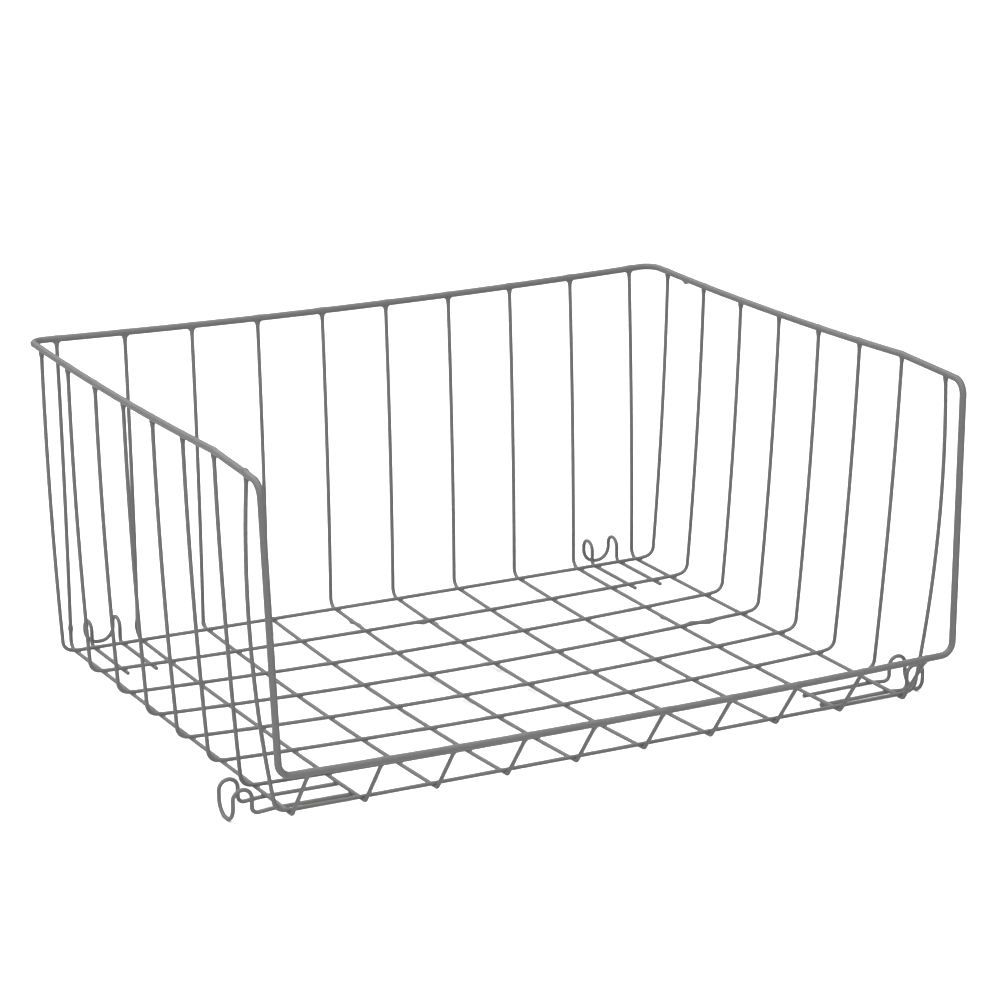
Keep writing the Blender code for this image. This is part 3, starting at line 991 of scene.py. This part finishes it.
make_piece("coated_rim", rim_points, rim_faces, "rim_coat", ["rim"])
print("rim swellings:", len(rim_lumps))

# %% [markdown]
# ## Floor and light
#
# A wide pale floor and one very large light overhead stand in for a white studio. The light
# reaches far enough back to keep the floor white up to the top of the picture, and the walls
# stay dim, so the sides of a round wire are darker than its top. A smaller light in front
# lifts the sides that face the viewer.

# %% Floor
FLOOR_HALF = 12.0
FLOOR_PALE = (0.69, 0.69, 0.69, 1.0)
FLOOR_ROUGHNESS = 0.9

floor_finish = Finish("studio_floor")
floor_finish.plug(floor_finish.shader.inputs["Base Color"], FLOOR_PALE)
floor_finish.plug(floor_finish.shader.inputs["Roughness"], FLOOR_ROUGHNESS)
floor_mesh = bpy.data.meshes.new("studio_floor")
floor_corners = np.array([(-1, -1, 0), (1, -1, 0), (1, 1, 0), (-1, 1, 0)]) * FLOOR_HALF
floor_mesh.from_pydata(floor_corners.tolist(), [], [(0, 1, 2, 3)])
floor_mesh.materials.append(floor_finish.material)
floor = bpy.data.objects.new("studio_floor", floor_mesh)
bpy.context.scene.collection.objects.link(floor)
print("floor, metres across:", 2 * FLOOR_HALF)

# %% Walls
WALL_WHITE = (1, 1, 1, 1)
WALL_STRENGTH = 0.2

world = bpy.data.worlds.new("dim_studio")
world.use_nodes = True
walls = world.node_tree.nodes["Background"].inputs
walls["Color"].default_value = WALL_WHITE
walls["Strength"].default_value = WALL_STRENGTH
bpy.context.scene.world = world
bpy.context.scene.view_settings.view_transform = "Standard"
print("strength of the walls' light:", WALL_STRENGTH)

# %% Lights
def soft_light(name, place, aim, width, depth, radiance):
    """A rectangular area light of this radiance: its power is pi times its area times that."""
    data = bpy.data.lights.new(name, "AREA")
    data.shape = "RECTANGLE"
    data.size = width
    data.size_y = depth
    data.energy = radiance * math.pi * width * depth
    lamp = bpy.data.objects.new(name, data)
    lamp.location = place
    lamp.rotation_euler = (Vector(aim) - Vector(place)).to_track_quat("-Z", "Y").to_euler()
    bpy.context.scene.collection.objects.link(lamp)


soft_light(
    "overhead_light",
    place=(-1.0, 1.2, 3.0),
    aim=(-1.0, 1.2, 0),
    width=5.4,
    depth=9.6,
    radiance=4.5,
)
soft_light(
    "front_light",
    place=(-1.5, -2.2, 1.6),
    aim=(0, 0, 0.1),
    width=1.4,
    depth=1.4,
    radiance=8.0,
)

# %% [markdown]
# ## Two checks
#
# Two faults would hide in the picture: faces that point inwards, and a round wire that has
# left its solid. A closed piece whose faces point outwards has a positive volume. The edges of
# a solid's flat sides lie on the real wire's surface, so their corners should be one radius
# from the coated wire's centre line, give or take the distance the welded layers were closed.

# %% Measures of a mesh
def mesh_arrays(mesh):
    """Vertex places and triangle corners of a mesh, as arrays."""
    mesh.calc_loop_triangles()
    places = np.empty(len(mesh.vertices) * 3)
    mesh.vertices.foreach_get("co", places)
    corners = np.empty(len(mesh.loop_triangles) * 3, np.int32)
    mesh.loop_triangles.foreach_get("vertices", corners)
    return places.reshape(-1, 3), corners.reshape(-1, 3)


def volume(mesh):
    """A sixth of the sum of each triangle's first corner . (second x third)."""
    places, corners = mesh_arrays(mesh)
    a, b, c = (places[corners[:, k]] for k in range(3))
    return (a * np.cross(b, c)).sum() / 6


def to_centre_line(points, path):
    """Each point's distance to the nearest place on the path's straight parts."""
    way = np.diff(path, axis=0)
    off = points[:, None] - path[None, :-1]
    s = np.clip((off * way).sum(-1) / (way**2).sum(-1), 0, 1)
    return np.linalg.norm(off - s[..., None] * way, axis=-1).min(axis=1)


rim_volume = volume(bpy.data.objects["coated_rim"].data)
print("the rim's steel and coat, cubic cm:", round(rim_volume / MM**3 / 1000, 1))

# %% Outward faces and agreement with the solids
centre_lines = {"rim": (np.vstack([rim_path, rim_path[:1]]), RIM_RADIUS)}
for kind, paths, _ in grid_wires:
    for number, path in enumerate(paths, 1):
        centre_lines[f"{kind}_{number}"] = (path, WIRE_RADIUS)
for node, path in hook_paths.items():
    centre_lines[node] = (path, WIRE_RADIUS)
for node, (path, radius) in centre_lines.items():
    points, _ = mesh_arrays(bpy.data.objects[node].data)
    apart = np.abs(to_centre_line(points, path) - radius)
    spot = np.round(points[apart.argmax()] / MM).tolist()
    side = "faces outwards" if volume(bpy.data.objects[f"coated_{node}"].data) > 0 else "INSIDE OUT"
    print(f"{node}: {apart.max() / MM:.2f} mm off at most, at {spot}, {side}")
for name in ("floor_weld_beads", "tail_weld_beads", "rim_weld_beads"):
    print(name, "volume, cubic mm:", round(volume(bpy.data.objects[name].data) / MM**3))
